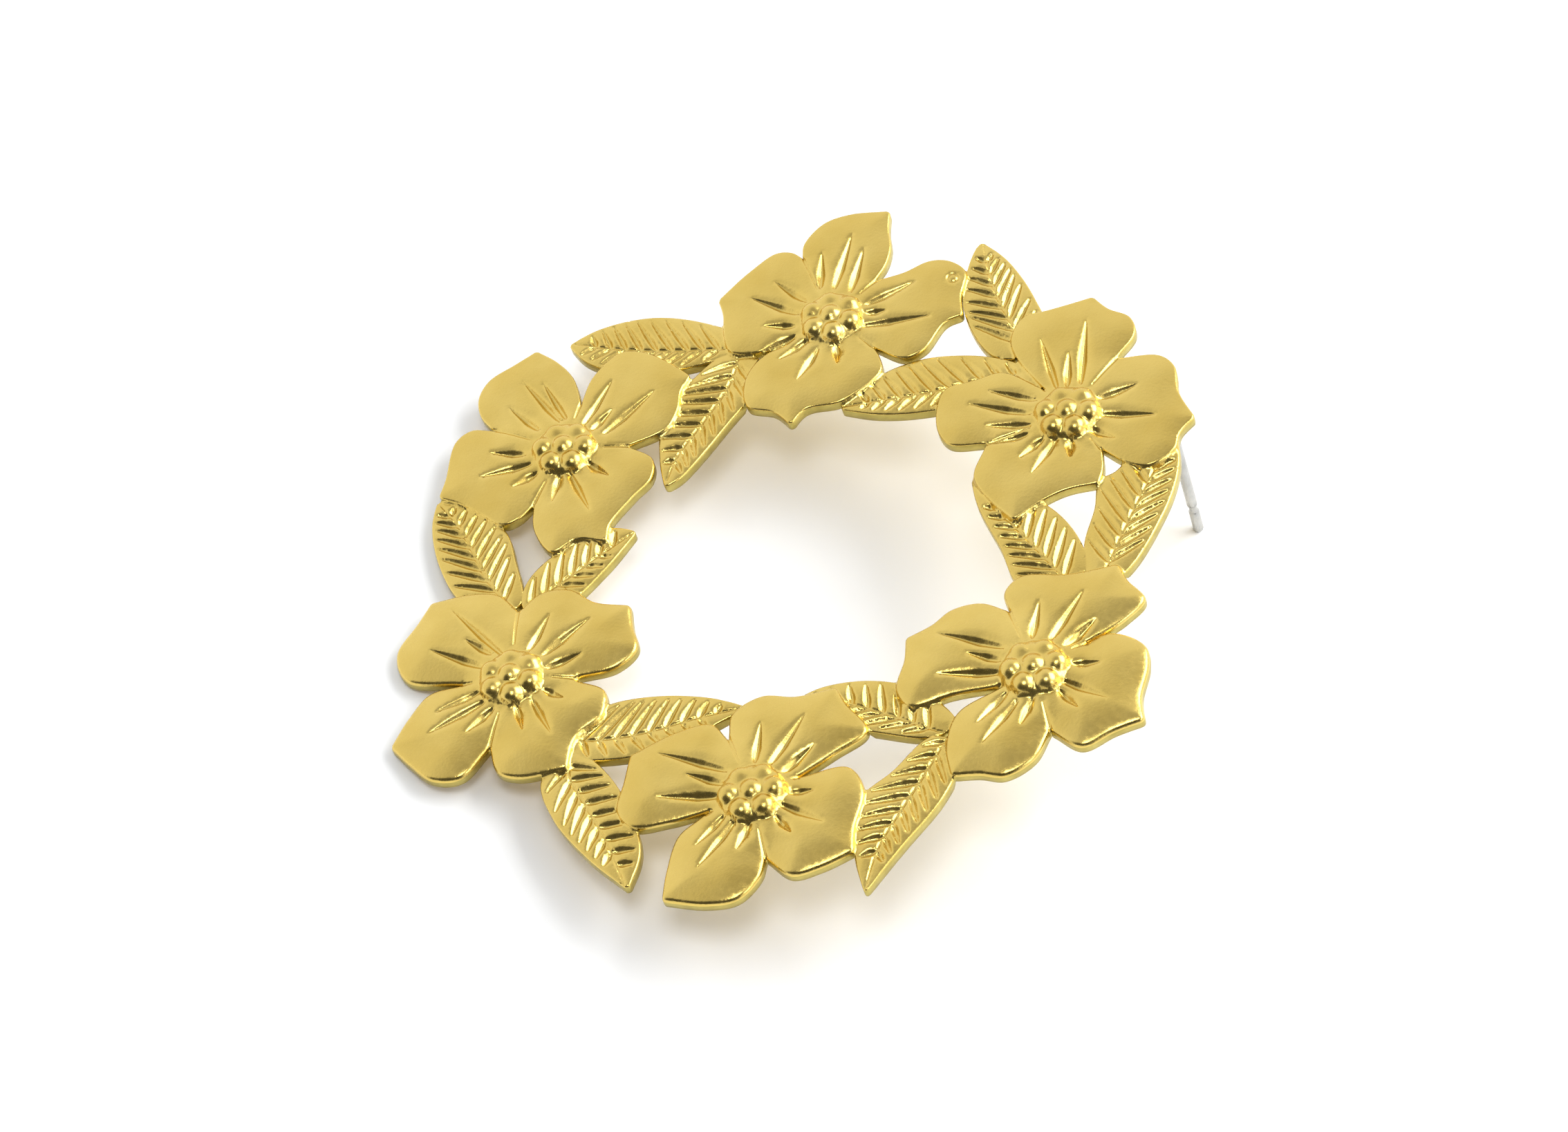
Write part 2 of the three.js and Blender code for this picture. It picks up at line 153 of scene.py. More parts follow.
# ---- Outlines; a third value of 1 makes a sharp point ----------------------------------------
# Each flower has its centre, the turn of its ring of bumps, its petals, and about three grooves
# to a petal, which run outwards from the dome. A groove is given by its two ends.
FLOWERS = [
    {
        "centre": (-17.5, 10.1),
        "bead_turn": 2,
        "petals": [
            [(-23.2, 12.4), (-24.2, 13.6), (-24.6, 15.2), (-24.1, 16.7), (-22.5, 18),
             (-21.05, 19.2, 1), (-19.4, 18.1), (-18, 16.6), (-17.3, 15), (-17.05, 14.2)],
            [(-17.05, 14.2), (-16.6, 16.5), (-15, 18.6), (-13.4, 18.6), (-11.4, 17.6),
             (-9.5, 16.2, 1), (-10, 15), (-10, 13.2), (-10.6, 11.6), (-13, 10.3)],
            [(-22.9, 12.2), (-24.6, 12.3), (-25.6, 11.3), (-25.75, 8), (-25.95, 6.5, 1),
             (-24.2, 5.9), (-22.6, 4.9), (-20.8, 3.9), (-19.8, 4.4), (-19, 5.5)],
            [(-19, 5.5), (-18.6, 3.3), (-17, 1.4), (-15.4, 2.4), (-13.3, 2.1, 1), (-13.3, 3.6),
             (-12, 5.9), (-11, 7.4), (-11.2, 9.1), (-13, 10.2)],
        ],
        "grooves": [
            (-18.3, 12.7, -21.6, 16.4), (-17.9, 12.9, -20.1, 16.2), (-19.7, 12, -22.2, 14.1),
            (-16.5, 12.3, -15, 16.2), (-15.8, 11.8, -14.6, 13.5), (-14.9, 11.4, -11.8, 15),
            (-20.3, 9.9, -22.9, 10.1), (-19.8, 9, -23.3, 8), (-19.2, 8.2, -20.8, 7),
            (-17.5, 8, -17.7, 5.5), (-16.8, 8, -14.8, 4.6), (-15.7, 8.9, -13.9, 7.6),
        ],
    },
    {
        "centre": (-0.1, 20.5),
        "bead_turn": -18,
        "petals": [
            [(-3, 26.3), (-3.05, 27.6), (-1.9, 29.4), (0, 30.15), (2.8, 30.25, 1), (2.9, 28.6),
             (3.25, 26.8), (3.1, 25.3), (2.5, 23.9)],
            [(-2.8, 26.2), (-3.8, 26.9), (-5, 26.9), (-6.6, 25.4), (-8.55, 22.9, 1),
             (-8.05, 21.6), (-7.7, 19.7), (-7, 18.2), (-5, 18), (-3.2, 18.7)],
            [(-3.2, 18.6), (-4.9, 17.3), (-5.6, 15.5), (-5.1, 13.2), (-3.2, 12.6),
             (-1.85, 11.4, 1), (-1, 12.7), (1.5, 13.3), (3.9, 15.8), (3.6, 17.1), (3.1, 17.9)],
            [(2.7, 23.9), (4.4, 24.5), (6.1, 25.4), (7.6, 25.3), (8.8, 24.3), (8.75, 22),
             (9.05, 20.35, 1), (7.9, 19.8), (6.7, 17.5), (5.4, 16.8), (3.1, 17.9)],
        ],
        "grooves": [
            (-1.3, 23.4, -1.6, 26.8), (-0.3, 23.3, 0.4, 28.3), (0.9, 23, 1.4, 26.9),
            (-2.2, 22.3, -4.7, 24.2), (-2.6, 21.2, -6.2, 22.8), (-2.7, 20.1, -5, 20.2),
            (-2.6, 19.2, -5, 17.9), (-1.6, 18.8, -3.5, 17.1), (-0.8, 17.8, -1.9, 15.1),
            (0.5, 18.2, 0.8, 16.4), (2.2, 21.7, 5.5, 23.6), (2.3, 20.9, 3.8, 21.1),
            (2.2, 19.8, 6.9, 20.4),
        ],
        "ring_mark": (8, 23.65),
    },
    {
        "centre": (17.2, 11.1),
        "bead_turn": -5,
        "petals": [
            [(15.3, 13.5), (13, 16.6), (12.6, 18.2), (13.3, 19.9), (15, 20.4), (17.9, 21.35, 1),
             (19.1, 20.2), (20.6, 19.4), (21.1, 17.9), (20.1, 16)],
            [(20.1, 15.8), (22.9, 15.9), (24, 14.9), (24.5, 12.6), (25.75, 10.4, 1),
             (24.9, 9.2), (24.6, 7.8), (23, 6.5), (21.4, 6.9), (19.7, 8.1)],
            [(19.8, 7.9), (20, 6.4), (19.8, 5.2, 1), (17.6, 4.7), (16, 3.8), (14.4, 2.4, 1),
             (12.6, 4.2), (11.3, 6.2), (11.8, 8.7)],
            [(11.9, 9), (9.4, 9.05), (8.4, 10.3), (8.15, 12.6), (8.6, 13.9), (10.4, 14.5),
             (12.3, 15.05), (15.2, 13.5)],
        ],
        "grooves": [
            (16.2, 13.5, 14.7, 17.8), (16.9, 13.5, 16.8, 16.5), (17.8, 13.7, 17.7, 19.4),
            (14.8, 12.5, 11.5, 13.4), (14.5, 11.3, 10.2, 12.4), (14.7, 10.3, 11.6, 10.4),
            (14.6, 9.5, 12.2, 8.9), (15.7, 9, 14.2, 7.5), (16.6, 8.9, 15.2, 6.1),
            (17.6, 8.9, 17.7, 7.3), (19.2, 12.3, 21.8, 13.4), (19.5, 10.9, 23.3, 10.7),
            (18.7, 9.8, 20.7, 8.8),
        ],
    },
    {
        "centre": (17.1, -10),
        "bead_turn": 10,
        "petals": [
            [(14.8, -4.9), (14.35, -3.5), (15.3, -2.2), (18.4, -2.15), (21.7, -1.5, 1),
             (22.4, -2.8), (23.7, -4.4), (22.6, -6), (20, -8)],
            [(20, -7.9), (21.7, -7.05), (24, -8.1), (24.4, -9.6), (24.15, -12.2), (24.5, -14, 1),
             (22.6, -14.8), (20.6, -15.9), (18.6, -14.7)],
            [(18.5, -14.6), (17.7, -16.7), (15.9, -18), (14.2, -17.8), (12.4, -17.85, 1),
             (11.85, -15.6), (12.3, -13), (15, -11)],
            [(14.9, -5), (12.9, -4.25), (11, -4.7), (9.8, -5.9), (8.2, -6.9, 1), (8.3, -8.6),
             (8.05, -11), (9.2, -12.4), (11.8, -11.6), (14.5, -11.1)],
        ],
        "grooves": [
            (16.7, -7.5, 16.9, -4.4), (18, -7.6, 19.8, -3.7), (19, -8.1, 20.8, -6),
            (14.9, -8.2, 10.3, -6.8), (14.8, -9.2, 12.4, -8.5), (14.7, -10.1, 10.6, -10.1),
            (15.4, -11.7, 13.7, -14.2), (16.2, -12.5, 14.2, -15.8), (17.2, -12.4, 16.6, -14.4),
            (19.6, -9.7, 21.5, -9.6), (19, -11, 22.2, -12.5), (18.9, -11.8, 20.3, -13.2),
        ],
    },
    {
        "centre": (-0.2, -19.1),
        "bead_turn": 10,
        "petals": [
            [(-2.6, -14.1), (-2.6, -12.5), (-0.8, -11.1), (1.6, -11.2), (4.1, -10.6, 1),
             (4.9, -11.9), (6.6, -14.1), (4.7, -15.9), (2.5, -17.6)],
            [(-2.6, -14.4), (-3.9, -13.2), (-6.4, -13.9), (-9, -15.5, 1), (-9.1, -17.6),
             (-9.2, -19.9), (-7.9, -21.2), (-5.6, -20.9), (-3, -20.1)],
            [(-3.4, -20.4), (-4.8, -21.9), (-5.2, -24.6), (-5.2, -26.8, 1), (-2.2, -27.2),
             (-0.2, -26.8), (1, -25.2), (1.2, -23.8)],
            [(1.2, -23.8), (3, -25.1), (4.8, -24.6), (6.9, -23.4, 1), (6.75, -21.6), (7, -18.8),
             (5.7, -16.9), (2.5, -17.6)],
        ],
        "grooves": [
            (-0.4, -16.6, -0.4, -13.4), (0.7, -16.7, 2.5, -12.8), (1.6, -17.3, 3.4, -15.2),
            (-2.2, -17.2, -7.1, -15.6), (-2.3, -18.2, -4.9, -17.4), (-2.5, -19.1, -6.7, -19.1),
            (-1.9, -20.7, -3.5, -23), (-1.1, -21.2, -3.1, -24.7), (-0.1, -21.4, -0.7, -23.4),
            (2.2, -19, 3.9, -18.8), (1.8, -20, 4.9, -21.4), (1.6, -20.9, 2.8, -22.2),
        ],
    },
    {
        "centre": (-17.9, -9.3),
        "bead_turn": -18,
        "petals": [
            [(-18.7, -3.3), (-20.2, -2), (-22.4, -1.9), (-24.85, -2.45, 1), (-25.5, -4.2),
             (-26.5, -6.7), (-25.4, -8.9), (-21.4, -9.4)],
            [(-18.4, -3.3), (-17.2, -2), (-15.3, -1.75), (-13.3, -2.9), (-10.8, -3.3, 1),
             (-10.4, -5), (-9.8, -6.9), (-11, -8.4), (-13.5, -9.1)],
            [(-21.4, -9.4), (-23.6, -10.1), (-24.7, -12), (-25.5, -14.3, 1), (-24, -15.7),
             (-22.2, -17), (-20.2, -16.9), (-18.65, -14.6)],
            [(-18.65, -14.6), (-17.8, -16.5), (-16.3, -17), (-13, -16.4, 1), (-12.8, -13.9),
             (-11.3, -12.2), (-11.5, -10.2), (-13.5, -9.35)],
        ],
        "grooves": [
            (-19, -7.2, -23.3, -3.2), (-19.7, -7.2, -21.8, -5.9), (-20.1, -8.2, -24.1, -6.7),
            (-17.1, -7, -16.1, -4), (-16, -7.4, -13.2, -4.4), (-15.6, -8.5, -13.3, -7.3),
            (-20, -10.2, -22.8, -11.9), (-19.5, -11.1, -23, -13.6), (-18.8, -11.7, -20.4, -13.6),
            (-17.2, -11.5, -16.4, -13.6), (-16.2, -11.1, -14.4, -13.9), (-15.5, -10.3, -14, -11),
        ],
    },
]

# Each leaf has its outline, its sunk rib from the tip to the stalk end, and the angles of its
# veins to the rib on the rib's right and left, seen towards the tip.
LEAVES = [
    {
        "edge": [(-19, 19.85, 1), (-16.8, 21.2), (-13.2, 21.95), (-9.6, 21.3), (-6.6, 19.8),
                 (-7, 18.3), (-10.6, 17.1), (-14, 16.9), (-17.4, 18.2)],
        "rib": [(-18.5, 19.9), (-16, 19.35), (-13, 18.95), (-10, 18.8), (-6.8, 18.7)],
        "slants": (52, 46),
    },
    {
        "edge": [(-10.1, 6.75, 1), (-10.8, 9.2), (-11.1, 13), (-9.4, 16.3), (-7.4, 18.2),
                 (-4.6, 17.4), (-4.5, 15.6), (-6.4, 12), (-9, 7.6)],
        "rib": [(-10, 7.4), (-9.5, 9.5), (-8, 12.7), (-6.8, 15.5), (-6.4, 18)],
        "slants": (62, 41),
    },
    {
        "edge": [(-26.15, 6.5, 1), (-26.1, 4.2), (-25, 0.9), (-23, -2.1), (-20.4, -3.6),
                 (-18.6, -2.6), (-19.6, 1.1), (-20.8, 3.7), (-23.6, 5.8)],
        "rib": [(-26, 6.3), (-24.4, 4.5), (-22.8, 2), (-21.3, -0.5), (-19.6, -2.6)],
        "slants": (49, 41),
    },
    {
        "edge": [(-11.4, 3.2, 1), (-13.4, 3.5), (-17, 1.4), (-18.6, -1.2), (-18.2, -3.3),
                 (-15.6, -2.9), (-13.2, -0.1)],
        "rib": [(-11.7, 3), (-13.6, 1.3), (-15.6, -0.5), (-18.2, -3)],
        "slants": (48, 48),
    },
    {
        "edge": [(9.55, 27.25, 1), (11.6, 25.3), (13.7, 22), (14.8, 19), (13.6, 16.6),
                 (11.5, 16.8), (9.3, 20), (8.7, 23.2), (9.1, 26.4)],
        "rib": [(9.7, 26.9), (10.3, 24.6), (11.2, 22), (12.4, 19.6), (13, 17.4)],
        "slants": (38, 49),
    },
    {
        "edge": [(1.2, 12.9, 1), (4.2, 12.2), (8.5, 12.4), (14.2, 13.5), (15.4, 13.9),
                 (14.4, 15.4), (11.4, 16.75), (7.6, 17.05), (4.4, 16.1), (2.2, 14.2)],
        "rib": [(1.6, 13.1), (4.4, 13.5), (8, 14.1), (10.8, 14.8), (13.6, 15.1)],
        "slants": (60, 41),
    },
    {
        "edge": [(11, 6.4, 1), (11.7, 4.1), (13.6, 0.5), (15.3, -2.8), (18.2, -3.6),
                 (19.6, -1.6), (18.8, 1), (16.6, 3.7), (13, 5.6)],
        "rib": [(11.4, 5.9), (13.8, 2.9), (16.2, 0.1), (18.4, -2.6)],
        "slants": (47, 43),
    },
    {
        "edge": [(24.6, 9.5, 1), (24.95, 6.4), (24.2, 2.5), (21.9, -2.3), (20, -2.9),
                 (19.2, 0.3), (19.6, 3.4), (19.7, 5.7), (20.7, 6.4), (21.8, 7.8)],
        "rib": [(24.3, 9), (23, 5.5), (21.9, 2.2), (21.1, -0.6), (20.7, -2.4)],
        "slants": (40, 52),
    },
    {
        "edge": [(0.8, -11.6, 1), (3.2, -10.3), (6.2, -9.95), (9.6, -10.8), (12.3, -13.6),
                 (10.6, -14.6), (6.7, -14), (3, -13.1)],
        "rib": [(1.4, -11.5), (4.4, -11.6), (7.2, -12.5), (9.6, -13.5), (11.6, -14.3)],
        "slants": (59, 33),
    },
    {
        "edge": [(7.8, -26.4, 1), (6.8, -23.4), (6.5, -19.4), (8.5, -17.1), (10.8, -14.5),
                 (12.9, -15.4), (12.2, -19), (10, -22.7)],
        "rib": [(7.8, -26), (8.3, -23), (9.4, -20.2), (10.7, -17.3), (11.8, -14.7)],
        "slants": (54, 44),
    },
    {
        "edge": [(-1.6, -11.7, 1), (-4.4, -10.85), (-7.6, -10.6), (-11, -11.1), (-13.3, -12.8),
                 (-12.8, -15.2), (-9.4, -15.5), (-5.4, -14.1)],
        "rib": [(-2.2, -11.8), (-5, -12.5), (-8, -13.4), (-10.8, -13.95), (-13, -14)],
        "slants": (62, 52),
    },
    {
        "edge": [(-7.6, -25.7, 1), (-10.6, -23.3), (-13.5, -20.1), (-14.8, -17.1), (-13.4, -14.7),
                 (-11.6, -15.5), (-9, -18.5), (-7.2, -22.8)],
        "rib": [(-7.9, -25.3), (-9.4, -22.4), (-11.2, -19.5), (-12.9, -16.9), (-13.3, -15.4)],
        "slants": (44, 67),
    },
]


# ---- Curves and distances --------------------------------------------------------------------
def smooth_run(points):
    """Centripetal Catmull-Rom curve through the points, sampled every OUTLINE_PITCH or so."""
    spots = [np.array(p[:2], float) for p in points]
    spots = [2 * spots[0] - spots[1]] + spots + [2 * spots[-1] - spots[-2]]
    samples = []
    for before, start, end, after in zip(spots, spots[1:], spots[2:], spots[3:]):
        steps = [max(math.dist(a, b) ** 0.5, 1e-6)
                 for a, b in ((before, start), (start, end), (end, after))]
        leave = (start - before) / steps[0] - (end - before) / (steps[0] + steps[1])
        leave = (leave + (end - start) / steps[1]) * steps[1]
        arrive = (end - start) / steps[1] - (after - start) / (steps[1] + steps[2])
        arrive = (arrive + (after - end) / steps[2]) * steps[1]
        count = max(2, math.ceil(math.dist(start, end) / OUTLINE_PITCH))
        for index in range(count):
            t = index / count
            cubic = 2 * start - 2 * end + leave + arrive
            square = 3 * end - 3 * start - 2 * leave - arrive
            samples.append(start + leave * t + square * t ** 2 + cubic * t ** 3)
    samples.append(spots[-2])
    return samples


def outline(points):
    """A smooth outline, broken only at its sharp points."""
    runs = [[]]
    for point in points:
        runs[-1].append(point)
        if len(point) == 3:
            runs.append([point])
    samples = []
    for run in runs:
        if len(run) > 1:
            samples += smooth_run(run)[:-1]
    samples.append(np.array(points[-1][:2], float))
    return samples


def cross(a, b):
    return a[..., 0] * b[..., 1] - a[..., 1] * b[..., 0]


def blunted(polygon):
    """Takes the edge off the outward points of a counterclockwise polygon."""
    for _ in range(BLUNT_ROUNDS):
        before = polygon - np.roll(polygon, 1, 0)
        after = np.roll(polygon, -1, 0) - polygon
        turn = np.degrees(np.arctan2(cross(before, after), (before * after).sum(1)))
        middle = (np.roll(polygon, 1, 0) + np.roll(polygon, -1, 0)) / 2
        polygon = np.where((turn > BLUNT_TURN)[:, None], (polygon + middle) / 2, polygon)
    return polygon


def flower_polygon(flower):
    """The flower's outline, counterclockwise, and its notches, from its four petals."""
    centre = np.array(flower["centre"])
    petals = []
    for points in flower["petals"]:
        edge = outline(points)
        if cross(edge[0] - centre, edge[-1] - centre) < 0:
            edge.reverse()
        middle = edge[len(edge) // 2] - centre
        petals.append((math.atan2(middle[1], middle[0]), edge))
    petals.sort(key=lambda item: item[0])
    edges = [edge for _, edge in petals]
    notches = [(a[-1] + b[0]) / 2 for a, b in zip(edges, edges[1:] + edges[:1])]
    polygon = np.array([point for edge in edges for point in edge])
    apart = np.sqrt(((polygon - np.roll(polygon, 1, 0)) ** 2).sum(1)) > SHORTEST_EDGE
    return blunted(polygon[apart]), notches


def leaf_polygon(points):
    """The leaf's outline, counterclockwise."""
    polygon = np.array(outline(points + points[:1])[:-1])
    area = cross(polygon, np.roll(polygon, -1, 0)).sum()
    return blunted(polygon if area > 0 else polygon[::-1])


def near(points, shape, margin):
    """Which points lie within the shape's box, widened by margin."""
    low, high = shape.min(0) - margin, shape.max(0) + margin
    return np.flatnonzero(((points > low) & (points < high)).all(1))


def inside_distance(points, polygon):
    """Distance from each point to the polygon's edge, positive inside it."""
    result = np.empty(len(points))
    start = polygon
    along = np.roll(polygon, -1, 0) - start
    length = (along ** 2).sum(1)
    for first in range(0, len(points), CHUNK):
        part = points[first:first + CHUNK, None]
        offset = part - start
        share = np.clip((offset * along).sum(2) / length, 0, 1)
        gap = offset - share[..., None] * along
        distance = np.sqrt((gap ** 2).sum(2).min(1))
        rises = (start[:, 1] > part[..., 1]) != (start[:, 1] + along[:, 1] > part[..., 1])
        with np.errstate(divide="ignore", invalid="ignore"):
            reach = start[:, 0] + (part[..., 1] - start[:, 1]) * along[:, 0] / along[:, 1]
        crossings = (rises & (part[..., 0] < reach)).sum(1)
        result[first:first + CHUNK] = np.where(crossings % 2 == 1, distance, -distance)
    return result


def field(points, shapes, margin):
    """The greatest inside distance over several shapes."""
    best = np.full(len(points), float(NOWHERE))
    for shape in shapes:
        chosen = near(points, shape, margin)
        if len(chosen):
            best[chosen] = np.maximum(best[chosen], inside_distance(points[chosen], shape))
    return best


# ---- The parts of the relief -----------------------------------------------------------------
def groove(path, wide, deep, swell_at=0.35, inner=0.5, outer=0.0, taper=0.7):
    """A groove along a path: widest at the share swell_at of its length. Inner and outer are
    the shares of its width that are left at its start and at its end. A small taper keeps the
    width for longer."""
    path = np.array(path, float)
    lengths = np.sqrt((np.diff(path, axis=0) ** 2).sum(1))
    return {"path": path, "lengths": lengths, "wide": wide, "deep": deep,
            "swell_at": swell_at, "inner": inner, "outer": outer, "taper": taper}


def groove_swell(share, cut):
    """The groove's width and depth at a share of its length, as a part of their most."""
    rise = np.clip(share / cut["swell_at"], 0, 1) ** 0.5
    fall = np.clip((1 - share) / (1 - cut["swell_at"]), 0, 1) ** cut["taper"]
    return np.minimum(cut["inner"] + (1 - cut["inner"]) * rise,
                      cut["outer"] + (1 - cut["outer"]) * fall)


def groove_depth(points, cut):
    """How deep the groove is at each point."""
    best = np.full(len(points), np.inf)
    place = np.zeros(len(points))
    before = 0
    for start, end, length in zip(cut["path"], cut["path"][1:], cut["lengths"]):
        along = end - start
        share = np.clip((points - start) @ along / length ** 2, 0, 1)
        gap = points - start - share[:, None] * along
        distance = np.sqrt((gap ** 2).sum(1))
        place = np.where(distance < best, before + share * length, place)
        best = np.minimum(best, distance)
        before += length
    swell = groove_swell(place / before, cut)
    swell = np.maximum(swell, 1e-3)
    across = np.clip(1 - (best / (cut["wide"] * swell)) ** 2, 0, 1) ** 2
    return cut["deep"] * swell * across


def sunk(points, cuts):
    """The greatest groove depth at each point."""
    depth = np.zeros(len(points))
    for cut in cuts:
        chosen = near(points, cut["path"], cut["wide"])
        if len(chosen):
            depth[chosen] = np.maximum(depth[chosen], groove_depth(points[chosen], cut))
    return depth


def cushion(distance, height, width):
    """How far a petal or leaf is crowned at a distance from its rim."""
    return height * (1 - (1 - np.clip(distance / width, 0, 1)) ** 2)


def rim_drop(distance, reach):
    """How far a rim rounded to a radius falls away."""
    short = np.clip(reach - distance, 0, reach)
    return reach - np.sqrt(reach ** 2 - short ** 2)


def smooth_max(a, b, blend):
    """The greater of two heights, filleted where they come closer than blend."""
    return np.maximum(a, b) + np.clip(blend - np.abs(a - b), 0, None) ** 2 / (4 * blend)


def leaf_grooves(leaf, polygon):
    """The rib and the slanting veins, which end just short of the leaf's edge."""
    line = np.array(smooth_run(leaf["rib"]))[::3]
    cuts = [groove(line, *RIB, swell_at=0.7, inner=0.4, outer=0.6)]
    places = np.concatenate([[0], np.cumsum(cuts[0]["lengths"])])
    for place in np.arange(FIRST_VEIN * VEIN_PITCH, places[-1], VEIN_PITCH):
        root, ahead = [np.array([np.interp(where, places, line[:, axis]) for axis in (0, 1)])
                       for where in (place, place - RIB_AHEAD)]
        tipward = (ahead - root) / math.dist(ahead, root)
        for side, degrees in zip((-1, 1), leaf["slants"]):
            slant = math.radians(degrees)
            turn = np.array([[math.cos(slant), -side * math.sin(slant)],
                             [side * math.sin(slant), math.cos(slant)]])
            heading = turn @ tipward
            start, end, step = VEIN_SEARCH
            ray = root + heading * np.arange(start, end, step)[:, None]
            outside = np.flatnonzero(inside_distance(ray, polygon) < VEIN_EDGE)
            reach = start + step * outside[0] if len(outside) else end
            if reach > VEIN_SHORTEST:
                ends = [root + heading * VEIN_START, root + heading * reach]
                cuts.append(groove(ends, *VEIN, swell_at=0.3, inner=0.6, taper=0.4))
    return cuts, [groove(line, *RIB_DIP, swell_at=0.7, inner=0.6, outer=0.6)]


def dome_height(points, shape):
    """The raised centre of a flower with its round bumps, above the petals' rim."""
    radius = np.sqrt(((points - shape["centre"]) ** 2).sum(1))
    arc = np.clip(1 - (radius / DOME_RADIUS) ** 3, 0, 1)
    height = DOME_HEIGHT * np.sqrt(arc) - DOME_FALL * np.clip(radius - DOME_RADIUS, 0, 1)
    for index in range(BEAD_COUNT + 1):
        angle = math.tau * index / BEAD_COUNT + math.radians(shape["bead_turn"])
        ring = 0 if index == BEAD_COUNT else BEAD_RING
        spot = shape["centre"] + ring * np.array([math.cos(angle), math.sin(angle)])
        level = DOME_HEIGHT * math.sqrt(1 - (ring / DOME_RADIUS) ** 3) - BEAD_SINK
        level -= BEAD_FADE * max(math.sin(angle), 0) if ring else 0
        reach = BEAD_RADIUS ** 2 - ((points - spot) ** 2).sum(1)
        bead = level + np.sqrt(np.clip(reach, 0, None))
        height = np.where(reach > 0, smooth_max(height, bead, BEAD_FILLET), height)
    return height + shape["crown"] + DOME_LIFT


def flower_shape(flower):
    """A flower's polygon with its grooves, seams and the measures of its relief."""
    polygon, notches = flower_polygon(flower)
    centre = np.array(flower["centre"])
    lines = [(ends[:2], ends[2:]) for ends in flower["grooves"]]
    cuts = [groove(line, *PETAL_GROOVE) for line in lines]
    dips = [groove(line, *PETAL_DIP) for line in lines]
    if "ring_mark" in flower:
        turns = np.linspace(0, math.tau, RING_SIDES + 1)
        ring = flower["ring_mark"] + RING_RADIUS * np.stack([np.cos(turns), np.sin(turns)], 1)
        cuts.append(groove(ring, *RING_MARK, inner=1, outer=1))
    for notch in notches:
        outward = (notch - centre) / math.dist(notch, centre)
        seam = [notch, centre + outward * SEAM_END]
        cuts.append(groove(seam, *SEAM, swell_at=0.1, inner=0.8, outer=0.6))
    row = int(centre[1] < 0)
    return {"polygon": polygon, "centre": centre, "cuts": cuts, "dips": dips,
            "bead_turn": flower["bead_turn"], "rim": RIM_ROUND[row],
            "crown": CROWN[row], "crown_width": CROWN_WIDTH[row]}


def leaf_shape(leaf):
    """A leaf's polygon with its rib and veins."""
    polygon = leaf_polygon(leaf["edge"])
    cuts, dips = leaf_grooves(leaf, polygon)
    return {"polygon": polygon, "cuts": cuts, "dips": dips}


flower_shapes = [flower_shape(flower) for flower in FLOWERS]
leaf_shapes = [leaf_shape(leaf) for leaf in LEAVES]

FLOWER_POLYGONS = [shape["polygon"] for shape in flower_shapes]
LEAF_POLYGONS = [shape["polygon"] for shape in leaf_shapes]
ALL_POLYGONS = FLOWER_POLYGONS + LEAF_POLYGONS


def undulation(points):
    """Faint unevenness of the pressed sheet."""
    x, y = points.T
    waves = np.sin(1.3 * x + 0.7 * y) + np.sin(0.9 * y - 1.1 * x + 2) * np.sin(0.6 * x)
    return RIPPLE * waves


def leaf_level(points, shape, plain):
    """Height of a leaf's front, and NOWHERE outside it."""
    distance = inside_distance(points, shape["polygon"])
    level = cushion(distance, LEAF_CROWN, LEAF_CROWN_WIDTH) - LEAF_STEP
    if not plain:
        level = level - rim_drop(distance, LEAF_RIM)
        level = level - sunk(points, shape["cuts"]) - sunk(points, shape["dips"])
    return np.where(distance > -ON_EDGE, level, NOWHERE)


def flower_level(points, shape, plain):
    """Height of a flower's front, and of the slope from its rim down to the leaves."""
    distance = inside_distance(points, shape["polygon"])
    level = cushion(distance, shape["crown"], shape["crown_width"])
    slope = (LEAF_STEP - shape["rim"] + STEP_EXTRA) / STEP_RUN
    level = level + np.minimum(distance, 0) * slope
    if plain:
        radius = np.sqrt(((points - shape["centre"]) ** 2).sum(1))
        return level + DOME_HEIGHT * np.sqrt(np.clip(1 - (radius / DOME_RADIUS) ** 2, 0, 1))
    level = level - rim_drop(np.maximum(distance, 0), shape["rim"])
    relief = sunk(points, shape["cuts"]) + sunk(points, shape["dips"])
    level = level - np.where(distance > 0, relief, 0)
    return np.maximum(level, dome_height(points, shape))


def front_height(points, plain=False):
    """Height of the sheet's front. Plain leaves out rounded rims, grooves and bumps."""
    height = np.full(len(points), float(NOWHERE))
    kinds = [(shape, leaf_level) for shape in leaf_shapes]
    kinds += [(shape, flower_level) for shape in flower_shapes]
    for shape, level in kinds:
        chosen = near(points, shape["polygon"], STEP_REACH)
        if len(chosen):
            height[chosen] = np.maximum(height[chosen], level(points[chosen], shape, plain))
    return height + undulation(points)


def back_height(points):
    """The back follows the front's broad shape, one sheet below it."""
    return front_height(points, plain=True) - SHEET


# ---- Mesh points -----------------------------------------------------------------------------
def offset_row(polygon, distance):
    """Points beside a counterclockwise polygon, inwards for a positive distance."""
    along = np.roll(polygon, -1, 0) - np.roll(polygon, 1, 0)
    along /= np.maximum(np.sqrt((along ** 2).sum(1)), 1e-9)[:, None]
    row = polygon + distance * np.stack([-along[:, 1], along[:, 0]], 1)
    real = inside_distance(row, polygon)
    return row[np.abs(real - distance) < abs(distance) / 4]


